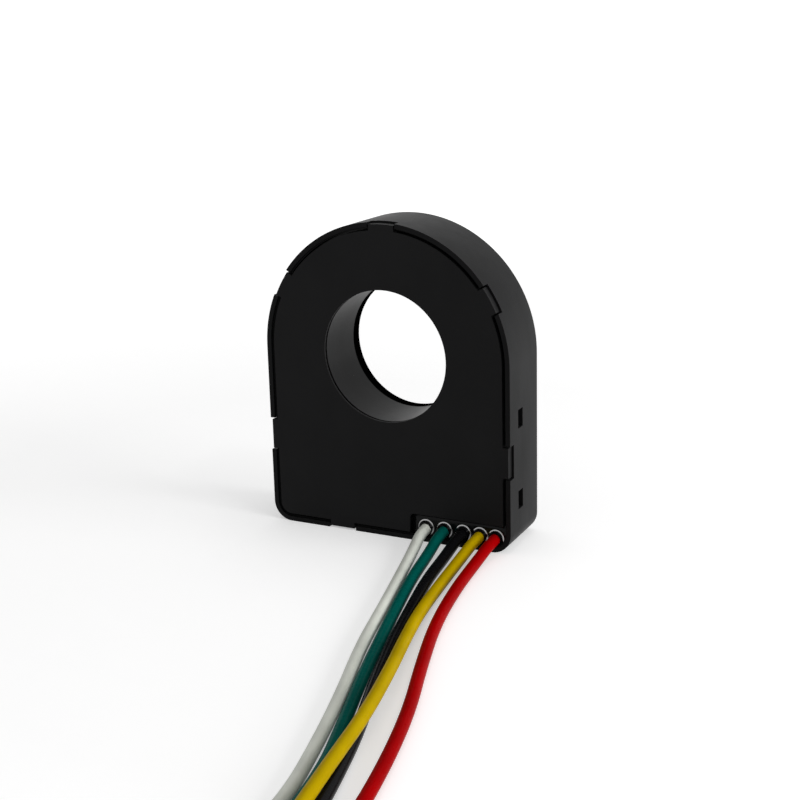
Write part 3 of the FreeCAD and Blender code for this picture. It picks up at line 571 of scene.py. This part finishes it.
def make_floor(settings):
    """The pale table, lifted to white away from the sensor where a ray shows it, so that the shadow stays."""
    bm = bmesh.new()
    bmesh.ops.create_grid(bm, x_segments=1, y_segments=1, size=3.0)
    floor = new_object("table", bm)
    material, tree, shader = new_material("pale table")
    colour = tuple(settings.floor_colour)
    grain = noise(tree, texture_space(tree), 0.004, 3.0)
    tree.links.new(tint(tree, grain, scaled(colour, 0.99), colour), shader.inputs["Base Color"])
    shader.inputs["Roughness"].default_value = 0.8
    shader.inputs["Specular IOR Level"].default_value = 0.1
    distance = tree.nodes.new("ShaderNodeVectorMath")
    distance.operation = "LENGTH"
    tree.links.new(texture_space(tree), distance.inputs[0])
    beside_sensor, far_off = 0.08, 0.45
    fade = spread(tree, distance.outputs["Value"], settings.floor_lift, 0.9, beside_sensor, far_off)
    lift = arithmetic(tree, "MULTIPLY", ray_that_shows(tree), fade)
    tree.links.new(lift, shader.inputs["Emission Strength"])
    shader.inputs["Emission Color"].default_value = (1.0, 1.0, 1.0, 1.0)
    put_on(floor, material)


def make_background(settings):
    """White where the camera or a glossy ray meets it, and a plain even light elsewhere."""
    world = bpy.data.worlds.new("white room")
    bpy.context.scene.world = world
    world.use_nodes = True
    tree = world.node_tree
    tree.nodes.clear()
    output = tree.nodes.new("ShaderNodeOutputWorld")
    mix = tree.nodes.new("ShaderNodeMixShader")
    tree.links.new(ray_that_shows(tree), mix.inputs["Fac"])
    for socket, strength in ((1, settings.room_light), (2, 1.0)):
        background = tree.nodes.new("ShaderNodeBackground")
        background.inputs["Color"].default_value = (1.0, 1.0, 1.0, 1.0)
        background.inputs["Strength"].default_value = strength
        tree.links.new(background.outputs[0], mix.inputs[socket])
    tree.links.new(mix.outputs[0], output.inputs["Surface"])


def softbox(name, place, size, power):
    """A round area lamp that is aimed at the sensor."""
    lamp = bpy.data.lights.new(name, "AREA")
    lamp.shape = "DISK"
    lamp.size = size
    lamp.energy = power
    holder = bpy.data.objects.new(name, lamp)
    bpy.context.scene.collection.objects.link(holder)
    holder.location = place
    sensor = Vector((0, 0, 0.02))
    aim = sensor - Vector(place)
    holder.rotation_mode = "QUATERNION"
    holder.rotation_quaternion = aim.to_track_quat("-Z", "Y")


def make_camera():
    """The photograph's standpoint, a little to the right and above, looking down on the cover."""
    place = Vector((0.108060, -0.211492, 0.089058))
    right = Vector((0.89261, 0.45015, -0.02490))
    up = Vector((-0.10457, 0.26047, 0.95981))
    back = right.cross(up)
    data = bpy.data.cameras.new("camera")
    data.lens = 73.63
    data.sensor_width = 36.0
    data.clip_start = 0.01
    data.clip_end = 20.0
    camera = bpy.data.objects.new("camera", data)
    bpy.context.scene.collection.objects.link(camera)
    turn = Matrix((right, up, back)).transposed().to_4x4()
    camera.matrix_world = Matrix.Translation(place) @ turn
    bpy.context.scene.camera = camera


class SENSOR_OT_stage(bpy.types.Operator):
    """Set up the camera, the pale table, the white room and the softboxes"""
    bl_idname = "sensor.stage"
    bl_label = "Stage"

    def execute(self, context):
        settings = context.scene.sensor_stage
        make_camera()
        make_floor(settings)
        make_background(settings)
        softbox("right softbox", (0.43, 0.00, 0.12), 0.30, settings.key_power)
        softbox("top softbox", (0.0, 0.10, 0.55), 0.40, settings.top_power)
        softbox("small lamp", (0.30, -0.15, 0.45), 0.06, settings.spot_power)
        context.scene.view_settings.view_transform = "Standard"
        return {"FINISHED"}


class SENSOR_OT_leads(bpy.types.Operator):
    """Lay the five leads on the table, each with its stripped and twisted end"""
    bl_idname = "sensor.leads"
    bl_label = "Leads"

    def execute(self, context):
        settings = context.scene.sensor_leads
        tinned = metal_finish("tinned strands", (0.70, 0.69, 0.66), 0.28, 0.0007)
        # Roughness and specular level of each insulation
        skin = {"white": (0.36, 0.035), "green": (0.26, 0.012), "black": (0.24, 0.035), "yellow": (0.32, 0.012),
                "red": (0.30, 0.008)}
        for colour in LEAD_ROUTES:
            route = lead_points(colour)
            lead = self.insulation(settings, colour, route)
            stand_for(lead, "lead_" + colour)
            put_on(lead, wire_insulation(colour + " insulation", tuple(getattr(settings, colour)), *skin[colour]))
            end = self.stripped_end(settings, colour, route, tinned)
        return {"FINISHED"}

    def insulation(self, settings, colour, route):
        """One lead's round insulation along its centre line."""
        data = bpy.data.curves.new("lead_" + colour + "_line", "CURVE")
        data.dimensions = "3D"
        spline = data.splines.new("NURBS")
        spline.points.add(len(route) - 1)
        # A curve's bounds count its points' radius, so that holds the lead's own and the bevel is one metre.
        for point, place in zip(spline.points, route):
            point.co = (*place, 1.0)
            point.radius = settings.diameter / 2
        spline.order_u = 3
        spline.use_endpoint_u = True
        spline.resolution_u = 24
        data.bevel_depth = 1.0
        data.bevel_resolution = 8
        data.use_fill_caps = True
        lead = bpy.data.objects.new("insulation_" + colour, data)
        bpy.context.scene.collection.objects.link(lead)
        return lead

    def stripped_end(self, settings, colour, route, tinned):
        """The twisted strands that run on from the end of a lead."""
        bm = strand_twist(settings.strands, settings.strip)
        last, before = Vector(route[-1]), Vector(route[-2])
        turn = (last - before).to_track_quat("Z", "Y").to_matrix().to_4x4()
        bmesh.ops.transform(bm, matrix=Matrix.Translation(last) @ turn, verts=bm.verts)
        end = new_object("strands_" + colour, bm)
        end.data.shade_smooth()
        put_on(end, tinned)
        stand_for(end, "tinned_end_" + colour)
        return end


class SENSOR_OT_case(bpy.types.Operator):
    """Model the moulded case with its bore tube, rim notches and snap windows"""
    bl_idname = "sensor.case"
    bl_label = "Case"

    def execute(self, context):
        case = context.scene.sensor_case
        cover = context.scene.sensor_cover
        front, back = CASE_LOW.y, CASE_HIGH.y
        bm = arch_prism(0.0, front, back)
        rear = [e for e in bm.edges if all(abs(v.co.y - back) < 1e-7 for v in e.verts)]
        round_off(bm, rear, case.back_round, 6)
        piece = new_object("moulded_case", bm)
        cut(piece, arch_prism(case.wall, front - OVERCUT, back - case.back))
        cut(piece, arch_prism(case.wall - case.step, front - OVERCUT, front + case.step_depth))
        cut(piece, disc(case.tube + TUBE_ROOM, front, back + OVERCUT))
        combine(piece, self.bore_tube(case, cover, front, back), "UNION")
        cut(piece, edge_boxes(TAB_END_GAP, front - OVERCUT, front + cover.thickness + TAB_UNDER_GAP))
        cut(piece, self.windows(front))
        clean_flats(piece)
        self.mark_bore(piece, case, back)
        soften_edges(piece, case.edge)
        put_on(piece, moulded_plastic("case plastic", tuple(case.colour), case.roughness, 0.045))
        piece.data.materials.append(moulded_plastic("bore plastic", tuple(case.colour), 0.36, 0.085))
        # Painted shade: a near-black, matt copy of the case plastic for the band at the back of the bore.
        piece.data.materials.append(moulded_plastic("dull plastic", scaled(case.colour, 0.08), 0.7, 0.0))
        stand_for(piece, "case_shell")
        return {"FINISHED"}

    def mark_bore(self, piece, case, back):
        """Divides the bore wall, and gives it its smoother finish and, at its back, a near-black band of painted
        shade.
        """
        start = back - case.bore_round - case.band
        behind_lip = CASE_LOW.y + 0.002
        bm = bmesh.new()
        bm.from_mesh(piece.data)

        def lines_bore(face):
            return all(math.hypot(v.co.x, v.co.z - BORE_HEIGHT) < case.bore + case.bore_round + 1e-5
                       for v in face.verts) and abs(face.normal.y) < 0.6

        wall = [f for f in bm.faces if lines_bore(f)]
        parts = wall + [e for f in wall for e in f.edges] + [v for f in wall for v in f.verts]
        bmesh.ops.bisect_plane(bm, geom=list(dict.fromkeys(parts)), plane_co=(0, start, 0), plane_no=(0, 1, 0))
        for face in bm.faces:
            if lines_bore(face) and face.calc_center_median().y > behind_lip:
                # Index 2 is the band of painted shade at the back of the bore; index 1 is the bore's smoother finish.
                face.material_index = 2 if face.calc_center_median().y > start else 1
        bm.to_mesh(piece.data)
        bm.free()

    def bore_tube(self, case, cover, front, back):
        """The tube, stepped at its mouth and with a rim that fills the opening in the back wall."""
        wide = case.tube + TUBE_RIM
        shoulder = front + cover.thickness
        mouth = front + case.lip_depth
        bm = spun_ring([(case.bore, mouth), (case.bore, back), (wide, back), (wide, back - case.back),
                        (case.tube, back - case.back), (case.tube, shoulder), (case.lip, shoulder),
                        (case.lip, mouth)])
        round_off(bm, ring_edges(bm, case.bore, back), case.bore_round, 10)
        return bm

    def windows(self, front):
        """Boxes that cut the two snap windows in each side wall."""
        sides = ((CASE_LOW.x - OVERCUT, CASE_LOW.x + 2 * OVERCUT), (CASE_HIGH.x - 2 * OVERCUT, CASE_HIGH.x + OVERCUT))
        bm = bmesh.new()
        for z in SNAP_HEIGHTS:
            for low_x, high_x in sides:
                box_into(bm, (low_x, front + WINDOW_FRONT, z - WINDOW_HALF_HEIGHT),
                         (high_x, front + WINDOW_REAR, z + WINDOW_HALF_HEIGHT))
        return bm


class SENSOR_OT_cover(bpy.types.Operator):
    """Model the cover plate with its tabs, thin-edged hole, lead outlet and snap arms"""
    bl_idname = "sensor.cover"
    bl_label = "Cover"

    def execute(self, context):
        case = context.scene.sensor_case
        cover = context.scene.sensor_cover
        front = CASE_LOW.y
        rear = front + cover.thickness
        piece = new_object("moulded_cover", arch_prism(cover.inset, front, rear))
        combine(piece, self.tabs(cover, front, rear), "UNION")
        cut(piece, disc(cover.seat, front + cover.hole_edge, rear + OVERCUT / 2))
        cut(piece, disc(cover.hole, front - OVERCUT / 2, rear))
        cut(piece, self.outlet(cover, front, rear))
        clean_flats(piece)
        self.add_arms(piece, case, rear)
        soften_edges(piece, case.edge)
        put_on(piece, moulded_plastic("cover plastic", tuple(cover.colour), cover.roughness, 0.085, 0.00030))
        stand_for(piece, "front_cover")
        return {"FINISHED"}

    def tabs(self, cover, front, rear):
        """The six tabs, cut to the outline that stays clear of the case's outside."""
        tabs = new_object("tabs", edge_boxes(0.0, front, rear))
        combine(tabs, arch_prism(cover.tab_recess, front, rear), "INTERSECT")
        bm = bmesh.new()
        bm.from_mesh(tabs.data)
        remove(tabs)
        return bm

    def outlet(self, cover, front, rear):
        """The corner that is missing from the cover, rounded where its two edges meet."""
        bm = bmesh.new()
        box_into(bm, (cover.outlet_left, front - OVERCUT, -OVERCUT), (CASE_HIGH.x, rear + OVERCUT, cover.outlet_top))
        corner = [e for e in bm.edges if all(abs(v.co.x - cover.outlet_left) < 1e-7
                                             and abs(v.co.z - cover.outlet_top) < 1e-7 for v in e.verts)]
        round_off(bm, corner, cover.outlet_round, 8)
        return bm

    def add_arms(self, piece, case, rear):
        """Joins the four snap arms on, each with a ramped nose in its window."""
        bm = bmesh.new()
        bm.from_mesh(piece.data)
        outer = CASE_HIGH.x - case.wall - ARM_GAP
        catch, ramp = CASE_LOW.y + NOSE_CATCH, CASE_LOW.y + NOSE_RAMP
        nose = CASE_HIGH.x - NOSE_RECESS
        for z in SNAP_HEIGHTS:
            low_z, high_z = z - ARM_HALF_WIDTH, z + ARM_HALF_WIDTH
            for side in (-1, 1):
                low_x, high_x = sorted((side * (outer - ARM_THICKNESS), side * outer))
                box_into(bm, (low_x, rear - ARM_OVERLAP, low_z), (high_x, ramp + ARM_OVERLAP, high_z))
                low_x, high_x = sorted((side * (outer - ARM_OVERLAP), side * nose))
                verts = box_into(bm, (low_x, catch, low_z), (high_x, ramp, high_z))
                tip = [v for v in verts if abs(v.co.x - side * nose) < 1e-7 and abs(v.co.y - ramp) < 1e-7]
                bmesh.ops.translate(bm, verts=tip, vec=(side * (outer - nose), 0, 0))
        bm.to_mesh(piece.data)
        bm.free()


class SENSOR_OT_resin(bpy.types.Operator):
    """Dress the cured resin that fills the case and creeps up the leads"""
    bl_idname = "sensor.resin"
    bl_label = "Resin"

    def execute(self, context):
        bm = bmesh.new()
        bm.from_mesh(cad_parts["potting_compound"].data)
        bmesh.ops.remove_doubles(bm, verts=bm.verts, dist=0.000001)
        piece = new_object("cast_resin", bm)
        piece.data.shade_smooth()
        piece.data.set_sharp_from_angle(angle=math.radians(35.0))
        put_on(piece, cast_resin("potting resin", (0.0035, 0.0035, 0.0038), 0.10, 0.00018))
        # Painted highlight: a resin with far too high a reflectance (full specular, index 2.4) for the ring feet, so
        # that the lamps show bright arcs there.
        piece.data.materials.append(cast_resin("wet edge", (0.0030, 0.0030, 0.0033), 1.0, 0.00004, 2.4))
        self.mark_painted_highlights(piece.data)
        stand_for(piece, "potting_compound")
        return {"FINISHED"}

    def mark_painted_highlights(self, mesh):
        """Gives the foot of the rings that stand round the leads a painted highlight: an over-reflective material in
        which the lamps show bright arcs.
        """
        for face in mesh.polygons:
            place = face.center
            if abs(face.normal.y) < 0.98 and place.y < CASE_LOW.y + HIGHLIGHT_DEPTH:
                for inset, laid in LEAD_ROUTES.values():
                    out = math.hypot(place.x - (CASE_HIGH.x - inset), place.z - LEAD_HEIGHT)
                    if HIGHLIGHT_INNER < out < HIGHLIGHT_OUTER:
                        face.material_index = 1


class SENSOR_OT_inner_parts(bpy.types.Operator):
    """Finish the sealed core, windings, board and components"""
    bl_idname = "sensor.inner_parts"
    bl_label = "Inner parts"

    def execute(self, context):
        package = coated_surface("package resin", (0.03, 0.03, 0.032), 0.55, 0.0012, 0.25)
        box = coated_surface("box plastic", (0.55, 0.55, 0.52), 0.45, 0.004, 0.06)
        finishes = {
            "magnetic_core": metal_finish("core ribbon", (0.45, 0.45, 0.46), 0.35, 0.0009, (1.0, 0.1, 1.0)),
            "core_box": box,
            "core_box_lid": box,
            "sense_winding": coated_surface("copper enamel", (0.50, 0.17, 0.05), 0.30, 0.0008, 0.3),
            "insulating_tape": coated_surface("tape film", (0.70, 0.54, 0.10), 0.30, 0.003, 0.08),
            "test_winding": coated_surface("test wire skin", (0.35, 0.05, 0.04), 0.40, 0.001, 0.1),
            "circuit_board": coated_surface("board laminate", (0.02, 0.16, 0.07), 0.35, 0.0015, 0.2),
            "chip_resistors": coated_surface("resistor glaze", (0.05, 0.05, 0.06), 0.30, 0.0005, 0.3),
            "chip_capacitors": coated_surface("capacitor ceramic", (0.45, 0.32, 0.20), 0.60, 0.0005, 0.12),
            "lead_core_ends": metal_finish("solder", (0.62, 0.62, 0.63), 0.30, 0.0006),
        }
        for node in ("microcontroller", "bridge_driver", "sense_amplifier", "voltage_regulator",
                     "output_transistor", "protection_diode"):
            finishes[node] = package
        for node, material in finishes.items():
            put_on(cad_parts[node], material)
        return {"FINISHED"}


class SENSOR_PT_panel(bpy.types.Panel):
    """Lists the steps that build and finish the sensor"""
    bl_idname = "SENSOR_PT_panel"
    bl_label = "Residual Current Sensor"
    bl_space_type = "VIEW_3D"
    bl_region_type = "UI"
    bl_category = "Sensor"

    def draw(self, context):
        for operator in OPERATORS:
            self.layout.operator(operator.bl_idname)
        for group in SETTINGS:
            box = self.layout.box()
            settings = getattr(context.scene, group)
            for name in settings.__annotations__:
                box.prop(settings, name)


OPERATORS = (SENSOR_OT_stage, SENSOR_OT_leads, SENSOR_OT_case, SENSOR_OT_cover, SENSOR_OT_resin,
             SENSOR_OT_inner_parts)
SETTINGS = {
    "sensor_stage": StageSettings,
    "sensor_case": CaseSettings,
    "sensor_cover": CoverSettings,
    "sensor_leads": LeadSettings,
}


def register():
    for settings in SETTINGS.values():
        bpy.utils.register_class(settings)
    for operator in OPERATORS:
        bpy.utils.register_class(operator)
    bpy.utils.register_class(SENSOR_PT_panel)
    for name, settings in SETTINGS.items():
        setattr(bpy.types.Scene, name, bpy.props.PointerProperty(type=settings))


def unregister():
    for name in SETTINGS:
        delattr(bpy.types.Scene, name)
    for item in (SENSOR_PT_panel, *OPERATORS, *SETTINGS.values()):
        bpy.utils.unregister_class(item)


def main():
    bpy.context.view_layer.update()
    register()
    bpy.ops.sensor.stage()
    bpy.ops.sensor.leads()
    bpy.ops.sensor.case()
    bpy.ops.sensor.cover()
    bpy.ops.sensor.resin()
    bpy.ops.sensor.inner_parts()
    bpy.context.view_layer.update()


if __name__ == "__main__":
    main()
